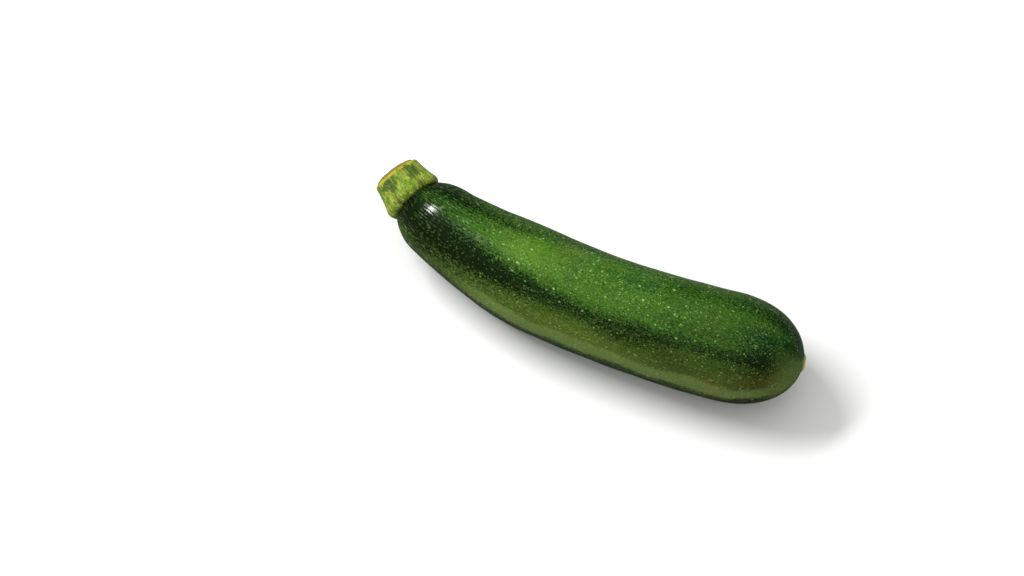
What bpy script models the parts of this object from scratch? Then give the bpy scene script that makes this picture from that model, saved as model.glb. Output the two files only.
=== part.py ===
# A courgette, picked with a short stub of its stem, lying on its side on a table.
# Metres, +Z up. The origin is on the table under the middle of the whole courgette. +X runs along
# it, towards the blossom end. Both ends bend round towards +Y, and the neck lifts off the table.
# Places along the fruit are counted on its axis, from halfway between its two ends. Angles round
# it turn from its +Y side towards its top.

import math

import bpy
from mathutils import Matrix, Vector

# Fruit: driving sizes
FRUIT_LENGTH = 0.1813
STEM_SEAT_RADIUS = 0.0114
NECK_RADIUS = 0.01635
BELLY_RADIUS = 0.0223
HEEL_RADIUS = 0.0232
SHOULDER_LENGTH = 0.0090
SHOULDER_ROUNDNESS = 1.7
NECK_RUN = 0.0655
WAIST_PLACE = 0.50         # shares of the length: where the belly starts to thicken,
HEEL_PLACE = 0.80          # and where the fruit is thickest
TIP_LENGTH = 0.0343
TIP_SQUARENESS = 2.35

# Bend of the fruit, as the radius of its axis in each half, and lift of the neck off the table
NECK_BEND_RADIUS = 0.314
HEEL_BEND_RADIUS = 0.437
STEM_END_TURN = math.radians(9)    # sharper turn of the last stretch before the stem
STEM_END_TURN_RUN = 0.025
NECK_LIFT_RADIUS = 0.450
NECK_LIFT_START = -0.028
PRESSED_DEPTH = 0.0008     # how far the underside has flattened under its own weight
MIDDLE_ON_TABLE = Vector((-0.00822, 0.00398, 0))

# Five broad ridges with five fainter ones between them, in line with the lobes of the stem
RIDGE_COUNT = 5
CREST_ANGLE = math.radians(100)
RIDGE_AT_NECK = 0.030
RIDGE_AT_TIP = 0.007
RIDGE_FADE = 0.075
FAINT_RIDGE_SHARE = 0.45

# Stem stub. It leans a little to the inside of the bend, and its furrows are unevenly spread
STEM_LENGTH = 0.0147
STEM_SINK = 0.0012
STEM_FOOT_RADIUS = 0.0123
STEM_FOOT_HEIGHT = 0.0020
STEM_NECK_RADIUS = 0.0114
STEM_LEAN = math.radians(4)
STEM_LEAN_WAY = math.radians(-9)
STEM_LEAN_RUN = 0.003
FURROW_ANGLES = tuple(math.radians(angle) for angle in (74, 132, 225, 290, 355))
STEM_LOBE_DEPTH = 0.10
FURROW_SHARPNESS = 0.7
STEM_FINE_RIBS = 25
STEM_FINE_RIB_DEPTH = 0.011
CUT_EDGE = 0.0006
CUT_DISH = 0.0007

# Corky scar where the flower dropped off
SCAR_RADIUS = 0.0039
SCAR_PROUD = 0.0003
SCAR_DEPTH = 0.0011
SCAR_PIT_RADIUS = 0.0010
SCAR_PIT_DEPTH = 0.0005

CLEARANCE = 0.0003
MERGE = 0.00002

FRUIT_RINGS = 46
FRUIT_SIDES = 60
STEM_SIDES = 75
SCAR_SIDES = 30

STEM_END = -FRUIT_LENGTH / 2
BLOSSOM_END = FRUIT_LENGTH / 2


def smooth(share):
    share = min(1.0, max(0.0, share))
    return share * share * (3 - 2 * share)


def tip_share(from_stem):
    """How far into the rounded blossom end a place is, from 0 to 1."""
    return max(0.0, (from_stem - (FRUIT_LENGTH - TIP_LENGTH)) / TIP_LENGTH)


def fruit_radius(along):
    """Mean radius of the fruit at a place along its axis."""
    from_stem = along - STEM_END
    swell = smooth((from_stem / FRUIT_LENGTH - WAIST_PLACE) / (HEEL_PLACE - WAIST_PLACE))
    body = NECK_RADIUS + (BELLY_RADIUS - NECK_RADIUS) * smooth(from_stem / NECK_RUN)
    body += (HEEL_RADIUS - BELLY_RADIUS) * swell
    shoulder = max(0.0, 1 - from_stem / SHOULDER_LENGTH)
    body -= (NECK_RADIUS - STEM_SEAT_RADIUS) * shoulder ** SHOULDER_ROUNDNESS
    tip = min(1.0, tip_share(from_stem))
    return body * (1 - tip ** TIP_SQUARENESS) ** 0.5


def along_at_tip_radius(radius):
    """The place in the rounded blossom end where the fruit has this radius."""
    low, high = BLOSSOM_END - TIP_LENGTH, BLOSSOM_END
    for _ in range(40):
        middle = (low + high) / 2
        if fruit_radius(middle) > radius:
            low = middle
        else:
            high = middle
    return low


def ridge_depth(along):
    fade = math.exp(-(along - STEM_END) / RIDGE_FADE)
    return RIDGE_AT_TIP + (RIDGE_AT_NECK - RIDGE_AT_TIP) * fade


def ridge_wave(angle):
    turn = RIDGE_COUNT * (angle - CREST_ANGLE)
    return math.cos(turn) + FAINT_RIDGE_SHARE * math.cos(2 * turn)


def ridged(along, radius, angle):
    return radius * (1 + ridge_depth(along) * ridge_wave(angle) / (1 + FAINT_RIDGE_SHARE))


def axis_height_and_slope(along):
    """The axis rises with the fruit's thickness, so that belly and heel both reach the table."""
    belly_place = STEM_END + NECK_RUN
    heel_place = STEM_END + HEEL_PLACE * FRUIT_LENGTH
    rise = (HEEL_RADIUS - BELLY_RADIUS) / (heel_place - belly_place)
    lifted = max(0.0, NECK_LIFT_START - along)
    height = BELLY_RADIUS - PRESSED_DEPTH + rise * (along - belly_place)
    return height + lifted ** 2 / (2 * NECK_LIFT_RADIUS), rise - lifted / NECK_LIFT_RADIUS


def fruit_frame(along):
    """A point of the fruit's axis, with the directions of its length, its +Y side and its top."""
    bend_radius = NECK_BEND_RADIUS if along < 0 else HEEL_BEND_RADIUS
    turn = along / bend_radius
    height, slope = axis_height_and_slope(along)
    point = Vector((bend_radius * math.sin(turn), bend_radius * (1 - math.cos(turn)), height))
    near_stem = max(0.0, 1 - (along - STEM_END) / STEM_END_TURN_RUN)
    aside = STEM_END_TURN * STEM_END_TURN_RUN * near_stem ** 3 / 3
    point += aside * Vector((-math.sin(turn), math.cos(turn), 0))
    turn -= STEM_END_TURN * near_stem ** 2
    length_way = Vector((math.cos(turn), math.sin(turn), slope)).normalized()
    side = Vector((-math.sin(turn), math.cos(turn), 0))
    return point, length_way, side, length_way.cross(side)


def place_on_fruit(along, radius, angle):
    """Carries a point of the straight turned fruit to the bent one, with its ridges and flat spot."""
    point, _, side, top = fruit_frame(along)
    reach = ridged(along, radius, angle)
    place = point + reach * (side * math.cos(angle) + top * math.sin(angle))
    place.z = max(place.z, 0.0)
    return place - MIDDLE_ON_TABLE


def stem_lobes(height, angle):
    """Broad lobes parted by narrow furrows, with fine ribs. They are shallow at the foot."""
    starts = [(angle - furrow) % (2 * math.pi) for furrow in FURROW_ANGLES]
    ends = [(furrow - angle) % (2 * math.pi) for furrow in FURROW_ANGLES]
    across_lobe = min(starts) / (min(starts) + min(ends) + 1e-9)
    furrow = 1 - math.sin(math.pi * across_lobe) ** FURROW_SHARPNESS
    growth = smooth((height + STEM_SINK) / (0.55 * STEM_LENGTH))
    foot_wave = ridge_depth(STEM_END) * ridge_wave(angle) / (1 + FAINT_RIDGE_SHARE)
    ribs = STEM_FINE_RIB_DEPTH * math.cos(STEM_FINE_RIBS * angle)
    return 1 + (1 - growth) * foot_wave - growth * (STEM_LOBE_DEPTH * furrow + ribs)


def place_on_stem(along, radius, angle):
    """Carries a point of the straight turned stem to the leaning one that grows from the fruit."""
    height = STEM_END - along
    above = max(0.0, height)
    point, length_way, side, top = fruit_frame(STEM_END)
    outwards = -length_way
    lean_way = side * math.cos(STEM_LEAN_WAY) + top * math.sin(STEM_LEAN_WAY)
    aside = math.tan(STEM_LEAN) * above * above / (above + STEM_LEAN_RUN)
    turn = STEM_LEAN * smooth(above / (0.7 * STEM_LENGTH))
    offset = radius * stem_lobes(height, angle) * (side * math.cos(angle) + top * math.sin(angle))
    turned = Matrix.Rotation(turn, 3, outwards.cross(lean_way)) @ offset
    return point + outwards * height + lean_way * aside + turned - MIDDLE_ON_TABLE


def fruit_profile():
    """Outline of the straight fruit from its blossom end to its stem end, with a shallow seat at each."""
    scar_seat = SCAR_RADIUS + CLEARANCE
    first = along_at_tip_radius(scar_seat)
    seat_floor = STEM_END + STEM_SINK
    seat_back = BLOSSOM_END - SCAR_DEPTH - CLEARANCE
    outline = [(0.0, seat_back), (scar_seat, seat_back)]
    for ring in range(FRUIT_RINGS):
        share = ring / (FRUIT_RINGS - 1)
        crowded = share - 0.125 * math.sin(2 * math.pi * share)
        along = first + (STEM_END - first) * crowded
        outline.append((fruit_radius(along), along))
    outline += [(STEM_SEAT_RADIUS - CLEARANCE, seat_floor), (0.0, seat_floor)]
    return outline


def stem_profile():
    """Outline of the straight stem from the foot in its seat to the dished cut face."""
    foot = STEM_SEAT_RADIUS - 3 * CLEARANCE
    waist = STEM_NECK_RADIUS
    heights_and_radii = [
        (CLEARANCE - STEM_SINK, 0.0),
        (CLEARANCE - STEM_SINK, foot - CLEARANCE),
        (0.0002, foot),
        (0.0004, STEM_SEAT_RADIUS),
        (0.0010, STEM_FOOT_RADIUS - CLEARANCE),
        (STEM_FOOT_HEIGHT, STEM_FOOT_RADIUS),
    ]
    steps = 8
    for step in range(1, steps + 1):
        share = step / steps
        height = STEM_FOOT_HEIGHT + (STEM_LENGTH - CUT_EDGE - STEM_FOOT_HEIGHT) * share
        radius = waist + (STEM_FOOT_RADIUS - waist) * (1 - share) ** 2.2
        heights_and_radii.append((height, radius))
    heights_and_radii += [
        (STEM_LENGTH, waist - CUT_EDGE),
        (STEM_LENGTH - 0.4 * CUT_DISH, 0.66 * waist),
        (STEM_LENGTH - CUT_DISH, 0.33 * waist),
        (STEM_LENGTH - CUT_DISH, 0.0),
    ]
    return [(radius, STEM_END - height) for height, radius in heights_and_radii]


def scar_profile():
    """Outline of the corky disc, from the pit in its middle to its hidden back."""
    rim = along_at_tip_radius(SCAR_RADIUS)
    back = BLOSSOM_END - SCAR_DEPTH
    return [
        (0.0, BLOSSOM_END + SCAR_PROUD - SCAR_PIT_DEPTH),
        (SCAR_PIT_RADIUS * 0.6, BLOSSOM_END + SCAR_PROUD - SCAR_PIT_DEPTH),
        (SCAR_PIT_RADIUS, BLOSSOM_END + SCAR_PROUD),
        (SCAR_RADIUS * 0.65, BLOSSOM_END + SCAR_PROUD),
        (SCAR_RADIUS * 0.9, rim + SCAR_PROUD),
        (SCAR_RADIUS, rim),
        (SCAR_RADIUS, back),
        (0.0, back),
    ]


def turned_mesh(name, outline, sides):
    """Turns an outline of (radius, height) points round the Z axis with a Screw modifier."""
    profile = bpy.data.meshes.new(name + "_profile")
    points = [(radius, 0.0, height) for radius, height in outline]
    profile.from_pydata(points, [(i, i + 1) for i in range(len(points) - 1)], [])
    turned = bpy.data.objects.new(name + "_turned", profile)
    bpy.context.scene.collection.objects.link(turned)
    screw = turned.modifiers.new("Turn", "SCREW")
    screw.axis = "Z"
    screw.angle = 2 * math.pi
    screw.steps = screw.render_steps = sides
    screw.use_merge_vertices = True
    screw.merge_threshold = MERGE
    graph = bpy.context.evaluated_depsgraph_get()
    mesh = bpy.data.meshes.new_from_object(turned.evaluated_get(graph))
    bpy.data.objects.remove(turned)
    bpy.data.meshes.remove(profile)
    mesh.name = name
    return mesh


def add_piece(name, outline, sides, place, material, collection):
    """One named solid: a turned outline whose points are then carried to the grown shape."""
    mesh = turned_mesh(name, outline, sides)
    for vertex in mesh.vertices:
        across, up, along = vertex.co
        vertex.co = place(along, math.hypot(across, up), math.atan2(up, across))
    mesh.shade_smooth()
    mesh.set_sharp_from_angle(angle=math.radians(40))
    mesh.materials.append(material)
    piece = bpy.data.objects.new(name, mesh)
    collection.objects.link(piece)
    return piece


def plain_material(name, colour, roughness):
    material = bpy.data.materials.new(name)
    material.use_nodes = True
    surface = material.node_tree.nodes["Principled BSDF"]
    surface.inputs["Base Color"].default_value = (*colour, 1)
    surface.inputs["Roughness"].default_value = roughness
    surface.inputs["Metallic"].default_value = 0.0
    return material


def main():
    for old in list(bpy.data.objects):
        bpy.data.objects.remove(old)
    collection = bpy.data.collections.new("Courgette")
    bpy.context.scene.collection.children.link(collection)
    skin = plain_material("fruit_skin", (0.03, 0.13, 0.02), 0.35)
    stalk = plain_material("stem_flesh", (0.30, 0.42, 0.07), 0.6)
    cork = plain_material("scar_cork", (0.66, 0.42, 0.13), 0.8)
    add_piece("fruit", fruit_profile(), FRUIT_SIDES, place_on_fruit, skin, collection)
    add_piece("stem", stem_profile(), STEM_SIDES, place_on_stem, stalk, collection)
    add_piece("blossom_scar", scar_profile(), SCAR_SIDES, place_on_fruit, cork, collection)


main()
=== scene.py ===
import math
import bpy
from mathutils import Matrix, Vector


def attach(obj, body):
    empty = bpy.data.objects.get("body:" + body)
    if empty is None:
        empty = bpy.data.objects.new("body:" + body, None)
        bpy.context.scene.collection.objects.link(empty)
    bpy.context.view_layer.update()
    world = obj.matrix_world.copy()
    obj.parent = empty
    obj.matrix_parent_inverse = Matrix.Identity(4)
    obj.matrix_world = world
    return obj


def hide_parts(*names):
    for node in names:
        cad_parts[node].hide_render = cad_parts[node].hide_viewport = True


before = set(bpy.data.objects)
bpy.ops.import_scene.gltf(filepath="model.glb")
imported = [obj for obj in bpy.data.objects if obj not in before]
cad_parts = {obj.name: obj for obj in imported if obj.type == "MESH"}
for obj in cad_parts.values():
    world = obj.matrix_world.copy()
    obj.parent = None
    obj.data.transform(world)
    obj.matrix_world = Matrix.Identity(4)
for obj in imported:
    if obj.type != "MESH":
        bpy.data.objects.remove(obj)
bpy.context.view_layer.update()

middleOnTable = Vector((-0.00822, 0.00398, 0))      # as in the solids' source
toMm = 1000.0
mergeDistance = 0.000002


# Node sums: a socket that can be added, multiplied and so on like a number

class NodeSum:
    def __init__(self, tree, socket):
        self.tree, self.socket = tree, socket

    def __add__(self, other): return calc("ADD", self, other)
    def __radd__(self, other): return calc("ADD", other, self)
    def __sub__(self, other): return calc("SUBTRACT", self, other)
    def __rsub__(self, other): return calc("SUBTRACT", other, self)
    def __mul__(self, other): return calc("MULTIPLY", self, other)
    def __rmul__(self, other): return calc("MULTIPLY", other, self)
    def __truediv__(self, other): return calc("DIVIDE", self, other)
    def __rtruediv__(self, other): return calc("DIVIDE", other, self)
    def __pow__(self, other): return calc("POWER", self, other)


def addNode(tree, kind, inputs=(), **settings):
    node = tree.nodes.new(kind)
    for name, value in settings.items():
        setattr(node, name, value)
    for key, value in dict(inputs).items():
        plug(tree, value, node.inputs[key])
    return node


def plug(tree, value, socket):
    if isinstance(value, NodeSum):
        value = value.socket
    if isinstance(value, bpy.types.NodeSocket):
        tree.links.new(value, socket)
    else:
        socket.default_value = value


def calc(operation, *terms):
    tree = next(term.tree for term in terms if isinstance(term, NodeSum))
    node = addNode(tree, "ShaderNodeMath", enumerate(terms), operation=operation)
    return NodeSum(tree, node.outputs[0])


def clamp(value, low=0.0, high=1.0):
    return calc("MINIMUM", calc("MAXIMUM", value, low), high)


def fade(value, start, end):                        # 0 at start, 1 at end, soft at both
    inputs = {"Value": value, "From Min": start, "From Max": end}
    node = addNode(value.tree, "ShaderNodeMapRange", inputs, interpolation_type="SMOOTHSTEP")
    return NodeSum(value.tree, node.outputs["Result"])


def joinXyz(tree, x, y, z):
    return NodeSum(tree, addNode(tree, "ShaderNodeCombineXYZ", {"X": x, "Y": y, "Z": z}).outputs[0])


def splitXyz(vector):
    node = addNode(vector.tree, "ShaderNodeSeparateXYZ", {"Vector": vector})
    return [NodeSum(vector.tree, output) for output in node.outputs]


def vectorCalc(operation, vector, other):
    key = 3 if operation == "SCALE" else 1
    inputs = {0: vector, key: other}
    node = addNode(vector.tree, "ShaderNodeVectorMath", inputs, operation=operation)
    return NodeSum(vector.tree, node.outputs[0])


def noise(vector, scale, detail=2.0, roughness=0.5):
    inputs = {"Vector": vector, "Scale": scale, "Detail": detail, "Roughness": roughness}
    return NodeSum(vector.tree, addNode(vector.tree, "ShaderNodeTexNoise", inputs).outputs[0])


# The path of the fruit and its stem

path = {
    "fruitLength": 0.1813, "neckBendRadius": 0.314, "heelBendRadius": 0.437,
    "stemEndTurn": math.radians(9), "stemEndTurnRun": 0.025,
    "neckLiftRadius": 0.450, "neckLiftStart": -0.028,
    "neckRun": 0.0655, "heelPlace": 0.80, "bellyRadius": 0.0223, "heelRadius": 0.0232,
    "pressedDepth": 0.0008,
    "stemLean": math.radians(5.5), "stemLeanWay": math.radians(-9), "stemLeanRun": 0.003,
    "lead": 0.005,                                  # the end pieces' paths start this far inside the fruit
    "stemPath": 0.030, "scarPath": 0.010, "pointGap": 0.0005,
}


def fruitAxis(along):                               # along is counted from halfway between the fruit's ends
    stemEnd = -path["fruitLength"] / 2
    bend = path["neckBendRadius"] if along < 0 else path["heelBendRadius"]
    turn = along / bend
    bellyPlace = stemEnd + path["neckRun"]
    heelPlace = stemEnd + path["heelPlace"] * path["fruitLength"]
    rise = (path["heelRadius"] - path["bellyRadius"]) / (heelPlace - bellyPlace)
    lifted = max(0.0, path["neckLiftStart"] - along)
    height = path["bellyRadius"] - path["pressedDepth"] + rise * (along - bellyPlace)
    height += lifted ** 2 / (2 * path["neckLiftRadius"])
    point = Vector((bend * math.sin(turn), bend * (1 - math.cos(turn)), height))
    nearStem = max(0.0, 1 - (along - stemEnd) / path["stemEndTurnRun"])
    aside = path["stemEndTurn"] * path["stemEndTurnRun"] * nearStem ** 3 / 3
    point += aside * Vector((-math.sin(turn), math.cos(turn), 0))
    turn -= path["stemEndTurn"] * nearStem ** 2
    lengthWay = Vector((math.cos(turn), math.sin(turn), rise - lifted / path["neckLiftRadius"])).normalized()
    side = Vector((-math.sin(turn), math.cos(turn), 0))
    return point - middleOnTable, lengthWay, side, lengthWay.cross(side)


def fruitPath():                                    # from the stem end to the blossom end
    length = path["fruitLength"]
    steps = round(length / path["pointGap"])
    return [fruitAxis(length * (step / steps - 0.5))[0] for step in range(steps + 1)]


def stemPath():                                     # from under the foot to beyond the cut
    point, lengthWay, side, top = fruitAxis(-path["fruitLength"] / 2)
    way = path["stemLeanWay"]
    leanWay = side * math.cos(way) + top * math.sin(way)
    points = []
    steps = round(path["stemPath"] / path["pointGap"])
    for step in range(steps + 1):
        height = path["stemPath"] * step / steps - path["lead"]
        above = max(0.0, height)
        aside = math.tan(path["stemLean"]) * above ** 2 / (above + path["stemLeanRun"])
        points.append(point - lengthWay * height + leanWay * aside)
    return points


def scarPath():
    point, lengthWay, _, _ = fruitAxis(path["fruitLength"] / 2)
    steps = round(path["scarPath"] / path["pointGap"])
    return [point + lengthWay * (step * path["pointGap"] - path["lead"]) for step in range(steps + 1)]


# Geometry node groups that every turned piece uses

def newSockets(tree, wanted, direction):
    for name, kind in wanted.items():
        tree.interface.new_socket(name, in_out=direction, socket_type="NodeSocket" + kind)


# Lays a flat grid round a path. Each point has a distance along it, an angle and a reach
def roundPathGroup():
    tree = bpy.data.node_groups.new("layRoundPath", "GeometryNodeTree")
    newSockets(tree, {"Grid": "Geometry", "Path": "Geometry", "Distance": "Float", "Angle": "Float",
                      "Reach": "Float", "Floor": "Float"}, "INPUT")
    newSockets(tree, {"Mesh": "Geometry"}, "OUTPUT")
    given = addNode(tree, "NodeGroupInput").outputs
    distance, angle, reach = (NodeSum(tree, given[name]) for name in ("Distance", "Angle", "Reach"))
    curve = addNode(tree, "GeometryNodeMeshToCurve", {0: given["Path"]}).outputs[0]
    upright = addNode(tree, "GeometryNodeSetCurveNormal", {"Curve": curve}, mode="Z_UP").outputs[0]
    place = addNode(tree, "GeometryNodeSampleCurve", {"Curves": upright, "Length": distance},
                    mode="LENGTH", use_all_curves=True).outputs
    tangent = NodeSum(tree, place["Tangent"])
    across = vectorCalc("CROSS_PRODUCT", joinXyz(tree, 0.0, 0.0, 1.0), tangent)
    side = vectorCalc("NORMALIZE", across, (0.0, 0.0, 0.0))
    top = vectorCalc("CROSS_PRODUCT", tangent, side)
    sideReach, topReach = reach * calc("COSINE", angle), reach * calc("SINE", angle)
    offset = vectorCalc("ADD", vectorCalc("SCALE", side, sideReach), vectorCalc("SCALE", top, topReach))
    x, y, z = splitXyz(vectorCalc("ADD", offset, NodeSum(tree, place["Position"])))
    pressed = joinXyz(tree, x, y, calc("MAXIMUM", z, NodeSum(tree, given["Floor"])))
    straight = joinXyz(tree, distance, sideReach, topReach)
    inputs = {"Geometry": given["Grid"], "Name": "straight", "Value": straight}
    stored = addNode(tree, "GeometryNodeStoreNamedAttribute", inputs, data_type="FLOAT_VECTOR",
                     domain="POINT").outputs[0]
    moved = addNode(tree, "GeometryNodeSetPosition", {"Geometry": stored, "Position": pressed}).outputs[0]
    inputs = {"Geometry": moved, "Distance": mergeDistance}
    closed = addNode(tree, "GeometryNodeMergeByDistance", inputs).outputs[0]
    shaded = addNode(tree, "GeometryNodeSetShadeSmooth", {"Geometry": closed}).outputs[0]
    addNode(tree, "NodeGroupOutput", {"Mesh": shaded})
    return tree


layRoundPath = roundPathGroup()


class PieceTree:                                    # a geometry tree whose named inputs are a piece's sizes
    def __init__(self, name, sizes):
        self.sizes = sizes
        self.tree = bpy.data.node_groups.new(name, "GeometryNodeTree")
        newSockets(self.tree, {"Geometry": "Geometry"}, "INPUT")
        kinds = {key: "Int" if isinstance(size, int) else "Float" for key, size in sizes.items()}
        newSockets(self.tree, kinds, "INPUT")
        newSockets(self.tree, {"Material": "Material"}, "INPUT")
        newSockets(self.tree, {"Geometry": "Geometry"}, "OUTPUT")
        self.given = addNode(self.tree, "NodeGroupInput").outputs

    def size(self, key):
        return NodeSum(self.tree, self.given[key])

    def grid(self):                                 # its two shares run from 0 to 1 along and round the piece
        inputs = {"Size X": 1.0, "Size Y": 1.0,
                  "Vertices X": self.given["rings"], "Vertices Y": self.given["sides"]}
        mesh = addNode(self.tree, "GeometryNodeMeshGrid", inputs).outputs["Mesh"]
        x, y, _ = splitXyz(NodeSum(self.tree, addNode(self.tree, "GeometryNodeInputPosition").outputs[0]))
        return mesh, x + 0.5, (0.5 - y) * (2 * math.pi)

    def keep(self, mesh, name, value):              # a number that the material reads
        inputs = {"Geometry": mesh, "Name": name, "Value": value}
        return addNode(self.tree, "GeometryNodeStoreNamedAttribute", inputs, domain="POINT").outputs[0]

    def end(self, mesh):
        whole = addNode(self.tree, "GeometryNodeRealizeInstances", {"Geometry": mesh}).outputs[0]
        inputs = {"Geometry": whole, "Material": self.given["Material"]}
        coated = addNode(self.tree, "GeometryNodeSetMaterial", inputs).outputs[0]
        addNode(self.tree, "NodeGroupOutput", {"Geometry": coated})

    def make(self, name, base, material):           # runs the tree on a base mesh, and leaves a plain mesh
        holder = bpy.data.objects.new(name + "Base", base)
        bpy.context.scene.collection.objects.link(holder)
        modifier = holder.modifiers.new(name, "NODES")
        modifier.node_group = self.tree
        for item in self.tree.interface.items_tree:
            if item.in_out == "INPUT" and item.name in self.sizes:
                modifier[item.identifier] = self.sizes[item.name]
            elif item.in_out == "INPUT" and item.name == "Material":
                modifier[item.identifier] = material
        evaluated = holder.evaluated_get(bpy.context.evaluated_depsgraph_get())
        mesh = bpy.data.meshes.new_from_object(evaluated)
        bpy.data.objects.remove(holder)
        mesh.name = name
        piece = bpy.data.objects.new(name, mesh)
        bpy.context.scene.collection.objects.link(piece)
        return piece


def pathMesh(points):
    mesh = bpy.data.meshes.new("path")
    mesh.from_pydata(points, [(i, i + 1) for i in range(len(points) - 1)], [])
    return mesh


def roundPiece(tree, mesh, distance, angle, reach, floor=-1.0):
    inputs = {"Grid": mesh, "Path": tree.given["Geometry"], "Distance": distance, "Angle": angle,
              "Reach": reach, "Floor": floor}
    group = tree.tree.nodes.new("GeometryNodeGroup")
    group.node_tree = layRoundPath
    for key, value in inputs.items():
        plug(tree.tree, value, group.inputs[key])
    return group.outputs[0]


# Shader groups that several finishes share

def shaderGroup(name, inputs, outputs):
    tree = bpy.data.node_groups.new(name, "ShaderNodeTree")
    newSockets(tree, inputs, "INPUT")
    newSockets(tree, outputs, "OUTPUT")
    given = addNode(tree, "NodeGroupInput").outputs
    return tree, [NodeSum(tree, given[key]) for key in inputs]


def fleckGroup():                                   # round flecks of uneven size, strewn through the tissue
    tree, (vector, cell, size, share, edge, disorder) = shaderGroup(
        "flecks", {"Vector": "Vector", "Cell": "Float", "Size": "Float", "Share": "Float", "Edge": "Float",
                   "Disorder": "Float"}, {"Mask": "Float"})
    tree.interface.items_tree["Disorder"].default_value = 1.0
    inputs = {"Vector": vector, "Scale": 1.0 / cell, "Randomness": disorder}
    cells = addNode(tree, "ShaderNodeTexVoronoi", inputs, feature="F1")
    near = NodeSum(tree, cells.outputs["Distance"]) * cell
    lot, other, _ = splitXyz(NodeSum(tree, cells.outputs["Color"]))
    radius = size * (0.55 + 0.65 * other)           # 0.55 to 1.2 times its size
    mask = fade(near, radius, radius * (1.0 - edge)) * calc("LESS_THAN", lot, share)
    addNode(tree, "NodeGroupOutput", {"Mask": mask})
    return tree


def grainGroup():                                   # mottling that is drawn out lengthwise
    tree, (vector, stretch, fineness, contrast) = shaderGroup(
        "lengthGrain", {"Vector": "Vector", "Stretch": "Float", "Fineness": "Float", "Contrast": "Float"},
        {"Mask": "Float"})
    x, y, z = splitXyz(vector)
    drawn = joinXyz(tree, x / stretch, y, z)
    grain = noise(drawn, fineness, detail=4.0, roughness=0.55)
    addNode(tree, "NodeGroupOutput", {"Mask": clamp((grain - 0.5) * contrast + 0.5)})
    return tree


fleckNodes, grainNodes = fleckGroup(), grainGroup()


def useGroup(tree, group, **inputs):
    node = tree.nodes.new("ShaderNodeGroup")
    node.node_tree = group
    for key, value in inputs.items():
        plug(tree, value, node.inputs[key])
    return NodeSum(tree, node.outputs[0])


def newMaterial(name, roughness, specular):
    material = bpy.data.materials.new(name)
    material.use_nodes = True
    tree = material.node_tree
    shader = tree.nodes["Principled BSDF"]
    shader.inputs["Roughness"].default_value = roughness
    shader.inputs["Specular IOR Level"].default_value = specular
    return material, tree, shader


def readAttribute(tree, name, output):
    node = addNode(tree, "ShaderNodeAttribute", attribute_type="GEOMETRY", attribute_name=name)
    return NodeSum(tree, node.outputs[output])


def blendColour(tree, share, under, over):
    node = addNode(tree, "ShaderNodeMix", data_type="RGBA")
    for key, value in ((0, share), (6, under), (7, over)):
        plug(tree, value if isinstance(value, (NodeSum, float)) else (*value, 1.0), node.inputs[key])
    return NodeSum(tree, node.outputs[2])


def shadeColour(tree, colour, factor):              # darker below 1, lighter above
    node = addNode(tree, "ShaderNodeVectorMath", {0: colour, 3: factor}, operation="SCALE")
    return NodeSum(tree, node.outputs[0])


def addBump(tree, shader, height, depth):
    bump = addNode(tree, "ShaderNodeBump", {"Height": height, "Distance": depth, "Strength": 1.0})
    tree.links.new(bump.outputs[0], shader.inputs["Normal"])


# Fruit

fruit = {
    "rings": 300, "sides": 240, "crowding": 0.125,  # the rings crowd towards the ends
    "length": path["fruitLength"], "seatRadius": 0.0114, "seatDepth": 0.0012, "seatRim": 0.0003,
    "neckRadius": 0.01635, "bellyRadius": path["bellyRadius"], "heelRadius": path["heelRadius"],
    "neckRun": path["neckRun"], "waistPlace": 0.50, "heelPlace": path["heelPlace"],
    "shoulderLength": 0.0135, "shoulderRoundness": 2.3,
    "shoulderSkew": 0.50, "shoulderLeast": -0.6,    # it is longer on top and shorter below
    "tipLength": 0.0343, "tipSquareness": 2.35,
    "crestAngle": math.radians(100), "ridgeAtNeck": 0.030, "ridgeAtTip": 0.007, "ridgeFade": 0.075,
    "faintRidgeShare": 0.45,
    "waviness": 0.00022, "waveSize": 0.013,         # slow unevenness of the skin
    "ribDepth": 0.00014, "ribFade": 0.016,          # fine ribs that run out from the stem
    "ribDraw": 12.0, "ribFineness": 11.0, "bareRim": 0.003,
    "bandShift": math.radians(-9), "bandShiftEnd": 0.125, "bandShiftFull": 0.075,
    "bandWander": 2.0, "wanderDraw": 25.0, "wanderFineness": 1.1, "bandSharpness": 0.3,
}


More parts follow.
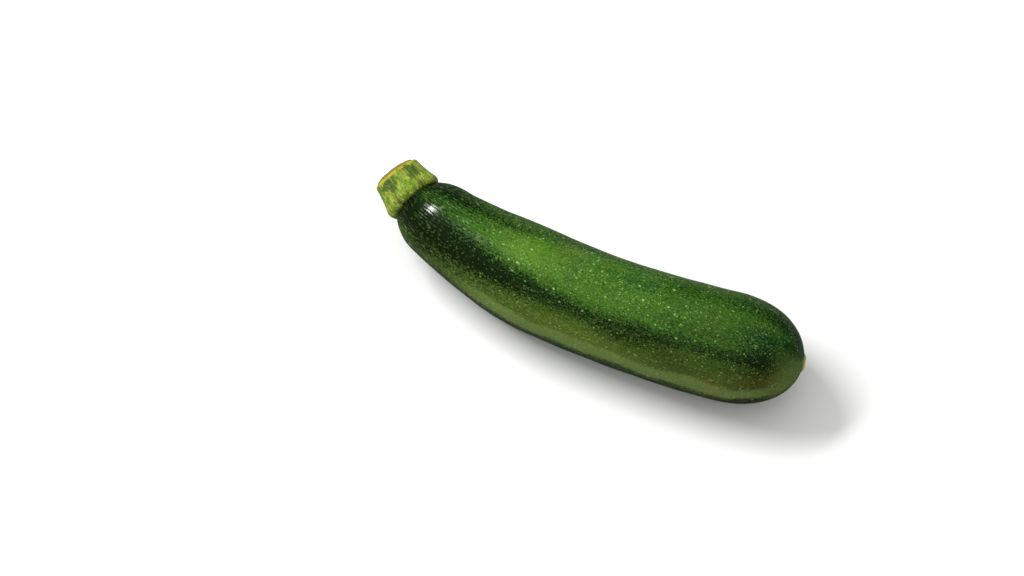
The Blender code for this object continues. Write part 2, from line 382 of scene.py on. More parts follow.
def fruitTree():
    piece = PieceTree("turnFruit", fruit)
    tree, size = piece.tree, piece.size
    mesh, share, angle = piece.grid()
    cosine, sine = calc("COSINE", angle), calc("SINE", angle)
    # the first two rings are the seat of the stem, the others the skin
    row = share * (size("rings") - 1.0)
    seatRow = calc("LESS_THAN", row, 1.5)
    skinShare = clamp((row - 2.0) / (size("rings") - 3.0))
    crowded = skinShare - size("crowding") * calc("SINE", skinShare * (2 * math.pi))
    fromStem = crowded * size("length")
    # neck, belly and heel, with a shoulder at the stem and a rounded tip
    belly = fade(fromStem, 0.0, size("neckRun"))
    swell = fade(fromStem / size("length"), size("waistPlace"), size("heelPlace"))
    body = size("neckRadius") + (size("bellyRadius") - size("neckRadius")) * belly
    body += (size("heelRadius") - size("bellyRadius")) * swell
    upper = calc("MAXIMUM", calc("COSINE", angle - size("crestAngle")), size("shoulderLeast"))
    shoulderRun = size("shoulderLength") * (1.0 + size("shoulderSkew") * upper)
    shoulder = calc("MAXIMUM", 1.0 - fromStem / shoulderRun, 0.0)
    body -= (size("neckRadius") - size("seatRadius")) * shoulder ** size("shoulderRoundness")
    tip = clamp((fromStem - size("length") + size("tipLength")) / size("tipLength"))
    radius = body * calc("SQRT", calc("MAXIMUM", 1.0 - tip ** size("tipSquareness"), 0.0))
    # five broad ridges with fainter ones between them
    turn = 5.0 * (angle - size("crestAngle"))
    faint = size("faintRidgeShare")
    wave = (calc("COSINE", turn) + faint * calc("COSINE", 2.0 * turn)) / (1.0 + faint)
    ridgeLeft = calc("EXPONENT", fromStem / size("ridgeFade") * -1.0)
    depth = size("ridgeAtTip") + (size("ridgeAtNeck") - size("ridgeAtTip")) * ridgeLeft
    reach = radius * (1.0 + depth * wave)
    around = joinXyz(tree, fromStem, reach * cosine, reach * sine)
    waves = noise(around, 1.0 / size("waveSize"), detail=1.0) - 0.5
    ribWay = joinXyz(tree, fromStem * size("ribDraw"), cosine, sine)
    ribs = noise(ribWay, size("ribFineness"), detail=1.5) - 0.5
    ribbed = size("ribDepth") * 2.0 * ribs * calc("EXPONENT", fromStem / size("ribFade") * -1.0)
    onSkin = fade(fromStem, 0.0, size("bareRim")) * fade(tip, 1.0, 0.9)
    reach = reach + (waves * 2.0 * size("waviness") + ribbed) * onSkin
    seatReach = calc("GREATER_THAN", row, 0.5) * (size("seatRadius") - size("seatRim"))
    reach = reach + (seatReach - reach) * seatRow
    distance = fromStem + (size("seatDepth") - fromStem) * seatRow
    # the skin's bands follow the ridges, but wander, and are turned a little on the neck
    wanderWay = joinXyz(tree, fromStem * size("wanderDraw"), cosine, sine)
    wander = noise(wanderWay, size("wanderFineness"), detail=1.0) - 0.5
    shifted = 5.0 * size("bandShift") * fade(fromStem, size("bandShiftEnd"), size("bandShiftFull"))
    bandTurn = turn - shifted + wander * size("bandWander")
    band = calc("COSINE", bandTurn) - size("bandSharpness") * calc("COSINE", 2.0 * bandTurn)
    mesh = piece.keep(mesh, "band", band)
    piece.end(roundPiece(piece, mesh, distance, angle, reach, floor=0.0))
    return piece


skinLook = {
    "dark": (0.0040, 0.0130, 0.0020), "middle": (0.030, 0.090, 0.0090), "pale": (0.088, 0.200, 0.017),
    # the olive tint and the brown mottle tint are painted warm bounce light; the cool tint is the skin's own
    "olive": (1.42, 0.88, 1.3), "warmMottle": (1.55, 0.85, 0.9), "cool": (0.72, 0.95, 1.7),   # tints
    # the lime colour is a painted reflection of the floor
    "reflectionColour": (0.135, 0.205, 0.052), "fleck": (0.31, 0.44, 0.145), "fineFleck": (0.21, 0.34, 0.095),
    "roughness": 0.16, "specular": 0.34, "bumpDepth": 0.00003,
    # how much each thing moves the green, which runs from dark at 0 to pale at 1
    "ground": 0.15, "middleLight": 0.27, "dimming": 0.27, "bands": 0.25, "broad": 0.22, "patches": 0.22,
    "fine": 1.5, "fineAtStem": -0.5, "fineOnNeck": 0.8, "mosaic": 0.4, "rowGap": 0.12,
    "quieterTip": 0.25, "quieterOlive": 0.20,
    # how strongly the tints and the speckle show
    "oliveShare": 0.9, "oliveSpotShare": 0.4, "warmMottleShare": 0.8, "coolShare": 0.6, "speckle": 1.1,
    "reflectionShare": 0.40, "reflectionOnGrain": 0.6, "tipSheenShare": 0.40, "rimShare": 0.35,
    # what makes the skin rougher, and what stands up in its bump
    "grainRoughness": 0.10, "fleckRoughness": 0.05,
    "poreHeight": 0.8, "rowHeight": 1.1, "fleckHeight": 0.25,
    "rows": 75.0,                                   # rows of fine flecks round the neck
    "bandAngle": 131.0, "bandEdge": (0.30, 0.92),   # where the bands show most, in degrees
    "bandLeast": 0.35, "bandLost": 0.75,
    # from here on in mm, from the stem
    "nearStem": (62.0, 4.0), "drawOut": 24.0, "drawOutRun": 28.0, "bandLoss": (98.0, 138.0),
    "lightens": (4.0, 55.0), "dims": (90.0, 135.0), "darkens": (181.0, 142.0),
    "quietens": (105.0, 140.0), "warmMottleRun": (112.0, 150.0), "ribRun": (32.0, 8.0), "darkRim": (0.2, 5.0),
}
skinGrains = {
    "broad": {"Stretch": 5.0, "Fineness": 0.10, "Contrast": 1.8},
    "patches": {"Stretch": 1.8, "Fineness": 0.05, "Contrast": 1.5},
}
skinNoises = {
    "warp": {"scale": 1.3, "detail": 1.0}, "rowWander": {"scale": 0.11, "detail": 1.0},
    "fine": {"scale": 1.5, "detail": 1.5, "roughness": 0.7}, "mosaic": {"scale": 0.65, "detail": 2.0},
    "oliveSpots": {"scale": 0.045, "detail": 2.0}, "warmMottle": {"scale": 0.08, "detail": 2.0},
    "blueSpots": {"scale": 0.07, "detail": 1.5}, "speckle": {"scale": 2.3, "detail": 1.0},
    "pores": {"scale": 0.9, "detail": 2.5, "roughness": 0.6},
}
# Zones of the skin: the angle of each in degrees, the cosines to it at which it begins and is full,
# the mm from the stem over which it sets in and ends, and what it adds to the green. Some wander, by
# how many radians and at which fineness
skinZones = {
    # painted bounce light: the front side is warmed, and lightened towards the heel, as if lit from the floor
    "bounceLitSide": {"angle": 160, "edge": (0.70, 0.97)},
    "bounceLitHeel": {"angle": 160, "edge": (0.70, 0.97), "starts": (105.0, 145.0), "green": 0.08},
    # partly painted shade: the front of the neck is dark skin, darkened further where it faces away from the
    # light
    "neckFront": {"angle": 131, "edge": (0.76, 0.97), "ends": (80.0, 34.0), "green": -0.33},
    "sunPatch": {"angle": 87, "edge": (0.88, 1.0), "starts": (36.0, 56.0), "ends": (84.0, 58.0),
                 "green": 0.25},
    "farLine": {"angle": 57, "edge": (0.975, 0.998), "starts": (60.0, 78.0), "ends": (125.0, 105.0),
                "green": 0.22},
    # painted reflection: a pale line low on the front, the floor mirrored at a grazing angle
    "reflectionLine": {"angle": 168, "edge": (0.983, 0.999), "starts": (30.0, 60.0), "ends": (180.0, 158.0),
                 "green": 0.20, "wander": (0.30, 0.05)},
    "underShade": {"angle": 196, "edge": (0.925, 0.990), "starts": (10.0, 45.0),
                   "green": -0.27, "wander": (0.45, 0.05)},
    # painted shade along a crease line towards the heel
    "crease": {"angle": 123, "edge": (0.987, 0.9995), "starts": (92.0, 118.0), "ends": (176.0, 160.0),
               "green": -0.16, "wander": (0.25, 0.03)},
    # painted sheen: a pale patch on the tip, where light glances off it
    "tipSheen": {"angle": 157, "edge": (0.45, 0.90), "starts": (165.0, 177.0), "green": 0.26},
    "tipShade": {"angle": 109, "edge": (0.88, 0.99), "starts": (146.0, 168.0), "ends": (181.0, 174.0),
                 "green": -0.12},
}
# Pale flecks, from a fine mist to spots a millimetre wide. Some stand in line, in rows on the neck
fleckLayers = {
    "mist": {"Cell": 1.05, "Size": 0.33, "Share": 0.85, "Edge": 0.7},
    "inLine": {"Cell": 1.0, "Size": 0.34, "Share": 0.8, "Edge": 0.8, "Disorder": 0.5},
    "small": {"Cell": 1.5, "Size": 0.42, "Share": 0.75, "Edge": 0.6},
    "large": {"Cell": 2.9, "Size": 0.56, "Share": 0.40, "Edge": 0.6},
    "streaks": {"Cell": 1.4, "Size": 0.30, "Share": 0.55, "Edge": 0.6},
}
# How strongly each shows, and what it loses near the stem and in some zones
fleckStrength = {
    "mist": 0.5, "inLine": 0.30, "streaks": 0.36,
    "small": 0.76, "smallAtStem": 0.26, "smallOnNeck": 0.15,
    "large": 0.78, "largeAtStem": 0.42, "largeOnNeck": 0.12, "largeOnOlive": 0.18,
    "atTip": 0.6, "onDark": 0.58, "onLight": 0.67,
}


def skinZone(name, straight, fromStem, angle):      # 1 in the zone, 0 outside it
    zone = skinZones[name]
    if "wander" in zone:
        turn, fineness = zone["wander"]
        angle = angle + turn * (noise(straight, fineness) - 0.5)
    mask = fade(calc("COSINE", angle - math.radians(zone["angle"])), *zone["edge"])
    for stretch in ("starts", "ends"):
        if stretch in zone:
            mask = mask * fade(fromStem, *zone[stretch])
    return mask


def skinMaterial():
    look, strength = skinLook, fleckStrength
    material, tree, shader = newMaterial("courgetteSkin", look["roughness"], look["specular"])
    straight = vectorCalc("SCALE", readAttribute(tree, "straight", "Vector"), toMm)
    fromStem, y, z = splitXyz(straight)
    angle = calc("ARCTAN2", z, y)
    nearStem = fade(fromStem, *look["nearStem"])
    zones = {name: skinZone(name, straight, fromStem, angle) for name in skinZones}
    neckFront, bounceLitSide, tipSheen = zones["neckFront"], zones["bounceLitSide"], zones["tipSheen"]

    # flecks and grain are drawn out near the stem, where the fruit has grown longest
    drawnOut = fromStem - look["drawOut"] * (1.0 - calc("EXPONENT", fromStem / -look["drawOutRun"]))
    warp = noise(straight, **skinNoises["warp"]) - 0.5
    drawn = joinXyz(tree, drawnOut / 1.2 + warp * 0.7, y - warp * 0.5, z + warp * 0.5)
    row = calc("ARCTAN2", y, z) * (look["rows"] / (2 * math.pi))
    row = row + 0.8 * noise(straight, **skinNoises["rowWander"])
    rows = 0.5 + 0.5 * calc("COSINE", (row - 0.25) * (2 * math.pi))
    inRows = 1.0 - nearStem * (1.0 - fade(rows, 0.15, 0.75))

    # lengthwise bands and mottles of lighter and darker green, and zones of painted light and shade
    nearBand = fade(calc("COSINE", angle - math.radians(look["bandAngle"])), *look["bandEdge"])
    least, lost = look["bandLeast"], look["bandLost"] * nearBand * fade(fromStem, *look["bandLoss"])
    band = readAttribute(tree, "band", "Fac") * ((least + (1.0 - least) * nearBand) * (1.0 - lost))
    broad, patches = (useGroup(tree, grainNodes, Vector=straight, **skinGrains[name])
                      for name in ("broad", "patches"))
    # lighter in the middle of the length and darker towards both ends, partly painted shade where the ends
    # turn away from the light
    middleLight = fade(fromStem, *look["lightens"]) * (1.0 - look["dimming"] * fade(fromStem, *look["dims"]))
    middleLight = middleLight * fade(fromStem, *look["darkens"])
    green = look["ground"] + look["middleLight"] * middleLight + look["bands"] * band
    green = green + look["broad"] * (broad - 0.5) + look["patches"] * (patches - 0.5)
    for name, zone in zones.items():
        if "green" in skinZones[name]:
            green = green + skinZones[name]["green"] * zone
    fine, mosaic = noise(drawn, **skinNoises["fine"]), noise(drawn, **skinNoises["mosaic"])
    quiet = 1.0 - look["quieterTip"] * fade(fromStem, *look["quietens"]) - look["quieterOlive"] * bounceLitSide
    fineContrast = look["fine"] + look["fineAtStem"] * nearStem + look["fineOnNeck"] * neckFront
    green = green + quiet * (fineContrast * (fine - 0.5) + look["mosaic"] * (mosaic - 0.5))
    green = clamp(green - look["rowGap"] * nearStem * (1.0 - rows))
    colour = blendColour(tree, fade(green, 0.0, 0.42), look["dark"], look["middle"])
    colour = blendColour(tree, fade(green, 0.28, 1.0), colour, look["pale"])

    # tints: browner on the front side, painted warm bounce light from the floor, and in random olive spots;
    # bluer in random patches elsewhere
    oliveSpot = fade(noise(straight, **skinNoises["oliveSpots"]), 0.50, 0.70)
    brown = calc("MAXIMUM", bounceLitSide * look["oliveShare"], oliveSpot * look["oliveSpotShare"])
    colour = blendColour(tree, brown, colour, vectorCalc("MULTIPLY", colour, look["olive"]))
    # brown mottles on that side towards the heel: the same painted warm light, broken up by noise
    warmMottles = fade(noise(straight, **skinNoises["warmMottle"]), 0.42, 0.66)
    warmMottles = warmMottles * bounceLitSide * fade(fromStem, *look["warmMottleRun"]) * look["warmMottleShare"]
    colour = blendColour(tree, warmMottles, colour, vectorCalc("MULTIPLY", colour, look["warmMottle"]))
    blue = fade(noise(drawn, **skinNoises["blueSpots"]), 0.48, 0.70) * (1.0 - bounceLitSide) * look["coolShare"]
    colour = blendColour(tree, blue, colour, vectorCalc("MULTIPLY", colour, look["cool"]))
    # painted reflection: a pale lime line low on the front, and a pale sheen on the tip
    reflectionLine = zones["reflectionLine"] * (look["reflectionShare"] + look["reflectionOnGrain"] * fine)
    paintedReflection = calc("MAXIMUM", reflectionLine, tipSheen * look["tipSheenShare"])
    colour = blendColour(tree, paintedReflection, colour, look["reflectionColour"])
    speckle = quiet * (noise(straight, **skinNoises["speckle"]) - 0.5)
    colour = shadeColour(tree, colour, 1.0 + look["speckle"] * speckle)

    # flecks, which show less on the dark skin and under the painted sheen on the tip
    atTip = 1.0 - strength["atTip"] * tipSheen
    inLineWay = joinXyz(tree, drawnOut / 1.5, row, 0.25)
    streakWay = joinXyz(tree, fromStem / 5.0, y, z)
    mist = useGroup(tree, fleckNodes, Vector=drawn, **fleckLayers["mist"])
    inLine = useGroup(tree, fleckNodes, Vector=inLineWay, **fleckLayers["inLine"]) * nearStem
    small = useGroup(tree, fleckNodes, Vector=drawn, **fleckLayers["small"]) * atTip
    large = useGroup(tree, fleckNodes, Vector=drawn, **fleckLayers["large"]) * atTip
    streaks = useGroup(tree, fleckNodes, Vector=streakWay, **fleckLayers["streaks"]) * nearStem
    lit = strength["onDark"] + strength["onLight"] * fade(green, 0.05, 0.52)
    misty = calc("MAXIMUM", mist * strength["mist"], inLine * strength["inLine"])
    colour = blendColour(tree, misty * lit, colour, look["fineFleck"])
    smallShare = (strength["small"] - strength["smallAtStem"] * nearStem
                  - strength["smallOnNeck"] * neckFront)
    colour = blendColour(tree, small * inRows * lit * smallShare, colour, look["fineFleck"])
    largeShare = (strength["large"] - strength["largeAtStem"] * nearStem
                  - strength["largeOnNeck"] * neckFront - strength["largeOnOlive"] * bounceLitSide)
    spots = calc("MAXIMUM", large * largeShare, streaks * strength["streaks"])
    colour = blendColour(tree, spots * lit, colour, look["fleck"])

    # painted shade: the skin is darkest in a rim round the stem, where the stem meets it
    rim = look["rimShare"]
    colour = shadeColour(tree, colour, rim + (1.0 - rim) * fade(fromStem, *look["darkRim"]))
    tree.links.new(colour.socket, shader.inputs["Base Color"])
    flecked = calc("MAXIMUM", small, large)
    roughness = look["roughness"] + look["grainRoughness"] * (fine - 0.5) + look["fleckRoughness"] * flecked
    plug(tree, clamp(roughness), shader.inputs["Roughness"])
    height = look["poreHeight"] * noise(drawn, **skinNoises["pores"]) + look["fleckHeight"] * flecked
    height = height + look["rowHeight"] * rows * fade(fromStem, *look["ribRun"])
    addBump(tree, shader, height, look["bumpDepth"])
    return material


# Stem

stem = {
    "rings": 150, "sides": 230,
    "sideStart": 0.06, "cutStart": 0.68,            # shares of the rings: under the foot, side, cut face
    "seatDepth": 0.0012, "seatRadius": 0.0112, "footRadius": 0.0132, "neckRadius": 0.0107,
    "toeHeight": 0.0030, "taper": 1.6, "length": 0.0147, "below": path["lead"],
    "furrowA": math.radians(106), "furrowB": math.radians(45), "furrowC": math.radians(315),
    "furrowD": math.radians(250), "furrowE": math.radians(185),
    "lobeDepth": 0.11, "furrowSharpness": 0.7, "pinch": 0.35, "fineRibs": 26, "fineRibDepth": 0.022,
    "cutEdge": 0.0015, "cutDome": 0.0021, "cutSlant": 0.0022, "slantAngle": math.radians(257),
    "slantRise": 0.0014, "rag": 0.00045, "fibreRise": 0.0009,
}
stemLook = {
    "green": (0.110, 0.215, 0.012), "yellow": (0.34, 0.39, 0.028),
    "dark": (0.046, 0.105, 0.010), "pale": (0.50, 0.56, 0.12),
    "rim": (0.46, 0.40, 0.028), "bruise": (0.16, 0.075, 0.012),
    "cut": (0.23, 0.17, 0.018), "cutHeart": (0.13, 0.09, 0.016),
    "roughness": 0.55, "specular": 0.20, "bumpDepth": 0.00045, "fibreRoughness": 0.25,
    "fibreHeight": 0.6, "streakHeight": 0.8,
    # how strongly each colour shows
    "paleFibres": 0.5, "darkFibres": 0.45, "streakShare": 0.85, "fleckShare": 0.4, "cutFibres": 0.3,
    "bruiseShare": 0.35, "bruiseLower": 0.20, "footShare": 0.50, "toeGapDark": 0.62,
    "rimShare": 0.85, "rimBruises": 0.8,
    # from here on in mm, from the foot up
    "darkStreaks": ((4.0, 8.0), (15.5, 12.0)), "bruiseRun": (8.5, 5.0), "toeGapRun": (4.2, 0.8),
    "footShade": (-0.2, 1.1), "rimBelow": (1.6, 0.8), "heart": (4.5, 2.0),
}
stemGrains = {
    "streak": {"Stretch": 3.2, "Fineness": 0.75, "Contrast": 2.4},
    "mottle": {"Stretch": 1.5, "Fineness": 0.26, "Contrast": 2.2},
    "fibre": {"Stretch": 3.6, "Fineness": 1.5, "Contrast": 2.4},
}


def stemTree():
    piece = PieceTree("growStem", stem)
    tree, size = piece.tree, piece.size
    mesh, share, angle = piece.grid()
    cosine, sine = calc("COSINE", angle), calc("SINE", angle)
    # rings: under the foot, up the side, over the cut edge, in to the middle of the cut
    under = fade(share, 0.0, size("sideStart"))
    sideShare = clamp((share - size("sideStart")) / (size("cutStart") - size("sideStart")))
    inward = clamp((share - size("cutStart")) / (1.0 - size("cutStart")))
    height = sideShare * (size("length") + size("seatDepth")) - size("seatDepth")
    # the lobes end in rounded toes, narrow to a waist and are cut on the slant
    toe = clamp(height / size("toeHeight"))
    radius = size("seatRadius") + (size("footRadius") - size("seatRadius")) * calc("SQRT", toe * (2.0 - toe))
    above = clamp((height - size("toeHeight")) / (size("length") - size("toeHeight")))
    radius -= (size("footRadius") - size("neckRadius")) * (1.0 - (1.0 - above) ** size("taper"))
    edge = clamp((height - size("length") + size("cutEdge")) / size("cutEdge"))
    radius -= size("cutEdge") * (1.0 - calc("SQRT", 1.0 - edge * edge))
    # furrows part the lobes, and fine ribs run up them
    starts = [calc("FLOORED_MODULO", angle - size("furrow" + letter), 2 * math.pi) for letter in "ABCDE"]
    ends = [calc("FLOORED_MODULO", size("furrow" + letter) - angle, 2 * math.pi) for letter in "ABCDE"]
    nearStart, nearEnd = starts[0], ends[0]
    for start, end in zip(starts[1:], ends[1:]):
        nearStart, nearEnd = calc("MINIMUM", nearStart, start), calc("MINIMUM", nearEnd, end)
    acrossLobe = nearStart / (nearStart + nearEnd + 0.00001)
    furrow = 1.0 - calc("SINE", acrossLobe * math.pi) ** size("furrowSharpness")
    growth = fade(height, size("seatDepth") * -1.0, size("length") * 0.35)
    pinched = 1.0 - size("pinch") * fade(height, size("length") * 0.1, size("length") * 0.6)
    fineWave = noise(joinXyz(tree, height * 14.0, cosine, sine), 6.5, detail=2.0) - 0.5
    ribs = size("fineRibDepth") * (calc("COSINE", angle * size("fineRibs")) * 0.35 + fineWave * 2.0)
    lobed = 1.0 - pinched * size("lobeDepth") * furrow + growth * ribs
    # the cut face is domed, ragged and fibrous
    inReach = calc("COSINE", inward * (math.pi / 2))
    dome = size("cutDome") * calc("SINE", inward * (math.pi / 2))
    slant = size("slantRise") + size("cutSlant") * calc("COSINE", angle - size("slantAngle"))
    slant = slant * fade(height, size("length") * 0.2, size("length"))
    slant = slant * inReach + size("slantRise") * (1.0 - inReach)
    rag = noise(joinXyz(tree, 0.0, cosine, sine), 3.4, detail=3.0) - 0.5
    ragged = (rag * 2.0 * size("rag")) * fade(height, size("length") * 0.5, size("length")) * inReach
    fibres = noise(joinXyz(tree, inward * 2.2, cosine, sine), 5.0, detail=3.0) - 0.5
    fibrous = fibres * size("fibreRise") * calc("SINE", inward * math.pi)
    distance = size("below") + height + ragged + dome + slant + fibrous
    reach = radius * lobed * under * inReach
    mesh = piece.keep(mesh, "furrow", furrow)
    mesh = piece.keep(mesh, "cutFace", fade(inward, 0.02, 0.14))
    piece.end(roundPiece(piece, mesh, distance, angle, reach))
    return piece


def stemMaterial():
    look = stemLook
    material, tree, shader = newMaterial("stemFlesh", look["roughness"], look["specular"])
    straight = vectorCalc("SCALE", readAttribute(tree, "straight", "Vector"), toMm)
    furrow = readAttribute(tree, "furrow", "Fac")
    cutFace = readAttribute(tree, "cutFace", "Fac")
    fromFoot, y, z = splitXyz(straight)
    height = fromFoot - stem["below"] * toMm
    streak, mottle, fibre = (useGroup(tree, grainNodes, Vector=straight, **stemGrains[name])
                             for name in ("streak", "mottle", "fibre"))
    colour = blendColour(tree, fade(mottle * 0.7 + streak * 0.5, 0.35, 1.0), look["green"], look["yellow"])
    colour = blendColour(tree, fade(fibre, 0.55, 0.95) * look["paleFibres"], colour, look["pale"])
    colour = blendColour(tree, fade(fibre, 0.45, 0.1) * look["darkFibres"], colour, look["dark"])
    # dark mottled streaks with painted shade up the furrows, a brown line in them, and painted shade in the
    # gap between the toes
    rising, falling = look["darkStreaks"]
    upperHalf = fade(height, *rising) * fade(height, *falling)
    streakAndFurrowShade = fade(streak * 0.8 + mottle * 0.5 - furrow ** 0.5 * upperHalf, 0.36, 0.0)
    colour = blendColour(tree, streakAndFurrowShade * look["streakShare"], colour, look["dark"])
    lower = look["bruiseLower"] * fade(height, *look["bruiseRun"])
    bruiseLine = fade(furrow, 0.70, 0.97) * (look["bruiseShare"] + lower)
    colour = blendColour(tree, bruiseLine, colour, look["bruise"])
    flecks = useGroup(tree, fleckNodes, Vector=straight, Cell=1.5, Size=0.34, Share=0.6, Edge=0.6)
    colour = blendColour(tree, flecks * look["fleckShare"], colour, look["pale"])
    # painted shade in the gap between the toes, and towards the foot
    toeGapShade = fade(furrow, 0.50, 0.95) * fade(height, *look["toeGapRun"])
    footShade = look["footShare"] + (1.0 - look["footShare"]) * fade(height, *look["footShade"])
    colour = shadeColour(tree, colour, footShade * (1.0 - look["toeGapDark"] * toeGapShade))
    # up to the rim, whose height follows the slant of the cut
    roundRim = calc("COSINE", calc("ARCTAN2", z, y) - stem["slantAngle"])
    slant = stem["slantRise"] * toMm + stem["cutSlant"] * toMm * roundRim
    rimStart, rimFull = (stem["length"] * toMm - below for below in look["rimBelow"])
    rim = fade(height - slant + (mottle - 0.5) * 0.8, rimStart, rimFull)
    colour = blendColour(tree, rim * look["rimShare"], colour, look["rim"])
    bruised = rim * fade(mottle, 0.55, 0.25) * look["rimBruises"]
    colour = blendColour(tree, bruised, colour, look["bruise"])
    fromHeart = calc("SQRT", y * y + z * z) + (streak - 0.5) * 3.0
    cut = blendColour(tree, fade(fromHeart, *look["heart"]), look["cut"], look["cutHeart"])
    cut = blendColour(tree, fade(fibre, 0.5, 0.9) * look["cutFibres"], cut, look["pale"])
    colour = blendColour(tree, cutFace, colour, cut)
    tree.links.new(colour.socket, shader.inputs["Base Color"])
    plug(tree, clamp(look["roughness"] + look["fibreRoughness"] * (fibre - 0.5)), shader.inputs["Roughness"])
    height = look["fibreHeight"] * fibre + look["streakHeight"] * streak
    addBump(tree, shader, height, look["bumpDepth"])
    return material


# Bristles on the stem

bristles = {
    "perSquareMetre": 700000.0, "seed": 7, "length": 0.0010, "lean": 0.55,
    "thickness": 0.00004, "tipThickness": 0.000004, "shortest": 0.4, "longest": 1.2,
    "lowest": 0.0056, "highest": 0.0190,            # measured along the stem's path
}
bristleLook = {
    "pale": (0.62, 0.68, 0.42), "shade": 0.6, "roughness": 0.6, "specular": 0.3, "spotFineness": 900.0,
}


def bristleTree():
    piece = PieceTree("plantBristles", bristles)
    tree, size = piece.tree, piece.size
    straight = addNode(tree, "GeometryNodeInputNamedAttribute", {"Name": "straight"},
                       data_type="FLOAT_VECTOR")
    height = splitXyz(NodeSum(tree, straight.outputs["Attribute"]))[0]
    onSide = calc("GREATER_THAN", height, size("lowest")) * calc("LESS_THAN", height, size("highest"))
    points = addNode(tree, "GeometryNodeDistributePointsOnFaces", {
        "Mesh": piece.given["Geometry"], "Density": size("perSquareMetre") * onSide,
        "Seed": piece.given["seed"]}, distribute_method="RANDOM")
    hair = addNode(tree, "GeometryNodeMeshCone", {
        "Vertices": 4, "Side Segments": 2, "Fill Segments": 1, "Radius Top": piece.given["tipThickness"],
        "Radius Bottom": piece.given["thickness"], "Depth": piece.given["length"]})
    wander = addNode(tree, "FunctionNodeRandomValue", {
        "Min": (-1.0, -1.0, -1.0), "Max": (1.0, 1.0, 1.0), "Seed": piece.given["seed"]},
        data_type="FLOAT_VECTOR")
    lean = vectorCalc("SCALE", NodeSum(tree, wander.outputs[0]), size("lean"))
    way = vectorCalc("ADD", NodeSum(tree, points.outputs["Normal"]), lean)
    turned = addNode(tree, "FunctionNodeAlignRotationToVector", {"Vector": way}, axis="Z")
    stretch = addNode(tree, "FunctionNodeRandomValue", {
        "Min": piece.given["shortest"], "Max": piece.given["longest"], "Seed": piece.given["seed"]},
        data_type="FLOAT")
    planted = addNode(tree, "GeometryNodeInstanceOnPoints", {
        "Points": points.outputs["Points"], "Instance": hair.outputs["Mesh"], "Rotation": turned.outputs[0],
        "Scale": joinXyz(tree, 1.0, 1.0, NodeSum(tree, stretch.outputs["Value"]))})
    piece.end(planted.outputs[0])
    return piece


def bristleMaterial():
    look = bristleLook
    material, tree, shader = newMaterial("bristleHair", look["roughness"], look["specular"])
    onHair = NodeSum(tree, addNode(tree, "ShaderNodeTexCoord").outputs["Object"])
    darker = tuple(part * look["shade"] for part in look["pale"])
    colour = blendColour(tree, noise(onHair, look["spotFineness"]), look["pale"], darker)
    tree.links.new(colour.socket, shader.inputs["Base Color"])
    return material


# Blossom scar

scar = {
    "rings": 60, "sides": 96, "radius": 0.0039, "below": path["lead"], "skirtShare": 0.15,
    "sink": 0.0009, "ring": 0.00038, "ringPlace": 0.62, "ringWidth": 0.2, "proud": 0.0002,
    "pit": 0.0006, "pitRadius": 0.26, "rough": 0.00022, "ragged": 0.16,
    "domeDrop": 0.00042,                            # how far the fruit's end falls away under its edge
}
scarLook = {
    "cork": (0.58, 0.36, 0.11), "tan": (0.70, 0.52, 0.22),
    "brown": (0.17, 0.085, 0.028), "edge": (0.20, 0.25, 0.05),
    "roughness": 0.8, "specular": 0.2, "bumpDepth": 0.0003,
    # shares of its radius
    "pitShade": (0.34, 0.16), "edgeShade": (0.74, 0.92),
}


def scarTree():
    piece = PieceTree("turnScar", scar)
    tree, size = piece.tree, piece.size
    mesh, share, angle = piece.grid()
    skirt = fade(share, 0.0, size("skirtShare"))
    outer = 1.0 - clamp((share - size("skirtShare")) / (1.0 - size("skirtShare")))
    cosine, sine = calc("COSINE", angle), calc("SINE", angle)
    ragged = size("ragged") * (noise(joinXyz(tree, 0.0, cosine, sine), 2.6, detail=3.0) - 0.5)
    reach = size("radius") * outer * (1.0 + ragged) * calc("GREATER_THAN", share, 0.005)
    ring = calc("EXPONENT", ((outer - size("ringPlace")) / size("ringWidth")) ** 2.0 * -1.0)
    pit = fade(outer, size("pitRadius"), 0.0)
    cork = noise(joinXyz(tree, outer * 1.5, outer * cosine, outer * sine), 4.5, detail=4.0) - 0.5
    height = size("ring") * ring - size("pit") * pit + cork * 2.0 * size("rough") + size("proud")
    height = height * fade(outer, 1.0, 0.8) - size("domeDrop") * outer * outer
    distance = size("below") + height - size("sink") * (1.0 - skirt)
    mesh = piece.keep(mesh, "fromHeart", outer)
    piece.end(roundPiece(piece, mesh, distance, angle, reach))
    return piece


def scarMaterial():
    look = scarLook
    material, tree, shader = newMaterial("scarCork", look["roughness"], look["specular"])
    straight = vectorCalc("SCALE", readAttribute(tree, "straight", "Vector"), toMm)
    outer = readAttribute(tree, "fromHeart", "Fac")
    crumbs = useGroup(tree, grainNodes, Vector=straight, Stretch=1.0, Fineness=1.3, Contrast=2.2)
    flecks = useGroup(tree, fleckNodes, Vector=straight, Cell=0.8, Size=0.28, Share=0.6, Edge=0.6)
    colour = blendColour(tree, crumbs, look["cork"], look["tan"])
    colour = blendColour(tree, flecks * 0.6, colour, look["brown"])
    colour = blendColour(tree, fade(outer, *look["pitShade"]), colour, look["brown"])
    edge = fade(outer + (crumbs - 0.5) * 0.2, *look["edgeShade"])
    colour = blendColour(tree, edge, colour, look["edge"])
    tree.links.new(colour.socket, shader.inputs["Base Color"])
    addBump(tree, shader, crumbs, look["bumpDepth"])
    return material


# Build the pieces

def dress(piece, node):
    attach(piece, "root")
    if node:
        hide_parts(node)
    print("made", piece.name, len(piece.data.polygons), "faces")


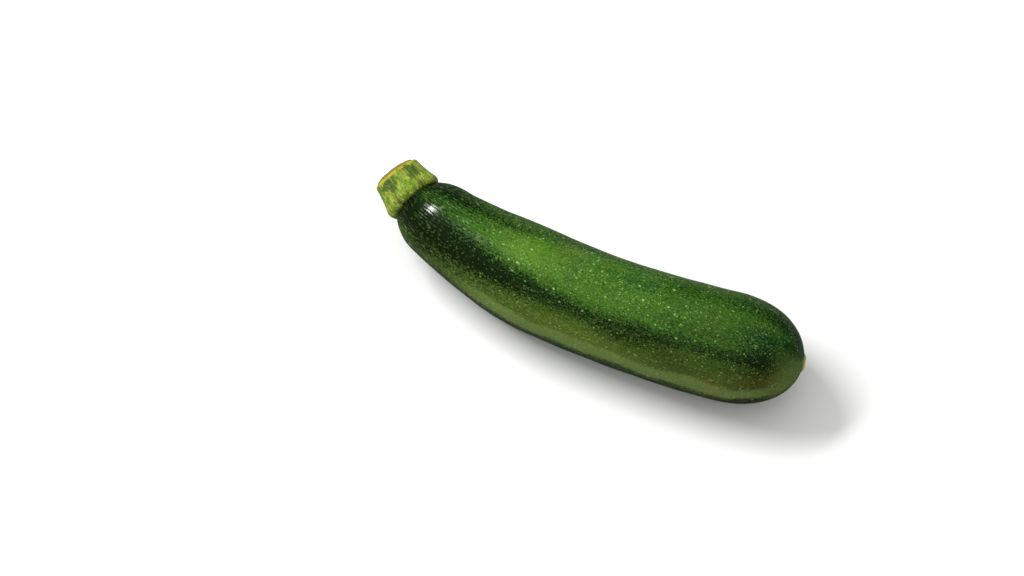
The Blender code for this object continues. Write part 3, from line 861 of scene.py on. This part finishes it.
skinPiece = fruitTree().make("courgetteFruit", pathMesh(fruitPath()), skinMaterial())
dress(skinPiece, "fruit")
stemPiece = stemTree().make("courgetteStem", pathMesh(stemPath()), stemMaterial())
dress(stemPiece, "stem")
bristlePiece = bristleTree().make("stemBristles", stemPiece.data.copy(), bristleMaterial())
dress(bristlePiece, None)
scarPiece = scarTree().make("blossomScar", pathMesh(scarPath()), scarMaterial())
dress(scarPiece, "blossom_scar")


# Floor, light and camera

studio = {
    "floorSize": 6.0, "floorColour": (0.86, 0.86, 0.85), "floorGrain": 40.0, "floorShade": 0.98,
    "roomInGloss": 0.10,                            # the skin mirrors the room only dimly
    "skyLight": 1.10, "horizonLight": 0.12, "skyEdge": (0.25, 0.95),        # a bright dome, a dim room
    "keyWay": (-0.645, 0.055, 0.765), "keyAway": 1.4, "keyPower": 17.5,
    "keyAcross": (0.408, 0.913, 0), "keyWidth": 0.70, "keyHeight": 0.20,
    "azimuth": 23.24, "elevation": 64.0, "distance": 1.02, "lens": 85.0,    # the camera
    "aim": (-0.0268, -0.0122, 0.0260),
}


def floorPiece():
    half = studio["floorSize"] / 2
    mesh = bpy.data.meshes.new("studioFloor")
    corners = [(-half, -half, 0), (half, -half, 0), (half, half, 0), (-half, half, 0)]
    mesh.from_pydata(corners, [], [(0, 1, 2, 3)])
    material, tree, shader = newMaterial("paleFloor", 0.7, 0.1)
    onFloor = NodeSum(tree, addNode(tree, "ShaderNodeTexCoord").outputs["Object"])
    grain = noise(onFloor, studio["floorGrain"])
    darker = tuple(part * studio["floorShade"] for part in studio["floorColour"])
    colour = blendColour(tree, grain, darker, studio["floorColour"])
    glossy = NodeSum(tree, addNode(tree, "ShaderNodeLightPath").outputs["Is Glossy Ray"])
    colour = shadeColour(tree, colour, 1.0 - glossy * (1.0 - studio["roomInGloss"]))
    tree.links.new(colour.socket, shader.inputs["Base Color"])
    mesh.materials.append(material)
    floor = bpy.data.objects.new("studioFloor", mesh)
    bpy.context.scene.collection.objects.link(floor)


def keyLight():
    light = bpy.data.lights.new("keyLight", "AREA")
    light.shape = "RECTANGLE"
    light.size, light.size_y = studio["keyWidth"], studio["keyHeight"]
    light.energy = studio["keyPower"]
    lamp = bpy.data.objects.new("keyLight", light)
    way = Vector(studio["keyWay"]).normalized()
    across = Vector(studio["keyAcross"])
    across = (across - across.project(way)).normalized()
    axes = Matrix((across, way.cross(across), way)).transposed()
    lamp.matrix_world = Matrix.Translation(way * studio["keyAway"]) @ axes.to_4x4()
    bpy.context.scene.collection.objects.link(lamp)


def studioWorld():
    world = bpy.data.worlds.new("studioWorld")
    world.use_nodes = True
    tree = world.node_tree
    background = tree.nodes["Background"]
    background.inputs["Color"].default_value = (1.0, 1.0, 1.0, 1.0)
    up = splitXyz(NodeSum(tree, addNode(tree, "ShaderNodeTexCoord").outputs["Generated"]))[2]
    dome = fade(up, *studio["skyEdge"])
    strength = studio["horizonLight"] + (studio["skyLight"] - studio["horizonLight"]) * dome
    glossy = NodeSum(tree, addNode(tree, "ShaderNodeLightPath").outputs["Is Glossy Ray"])
    plug(tree, strength * (1.0 - glossy * (1.0 - studio["roomInGloss"])), background.inputs["Strength"])
    bpy.context.scene.world = world


def photoCamera():
    turn, rise = math.radians(studio["azimuth"]), math.radians(studio["elevation"])
    back = Vector((math.sin(turn) * math.cos(rise), -math.cos(turn) * math.cos(rise), math.sin(rise)))
    right = Vector((math.cos(turn), math.sin(turn), 0))
    camera = bpy.data.objects.new("photoCamera", bpy.data.cameras.new("photoCamera"))
    camera.data.lens = studio["lens"]
    axes = Matrix((right, back.cross(right), back)).transposed()
    place = Vector(studio["aim"]) + back * studio["distance"]
    camera.matrix_world = Matrix.Translation(place) @ axes.to_4x4()
    bpy.context.scene.collection.objects.link(camera)
    bpy.context.scene.camera = camera


floorPiece()
keyLight()
studioWorld()
bpy.context.scene.view_settings.view_transform = "Standard"
photoCamera()
print("lit and framed")
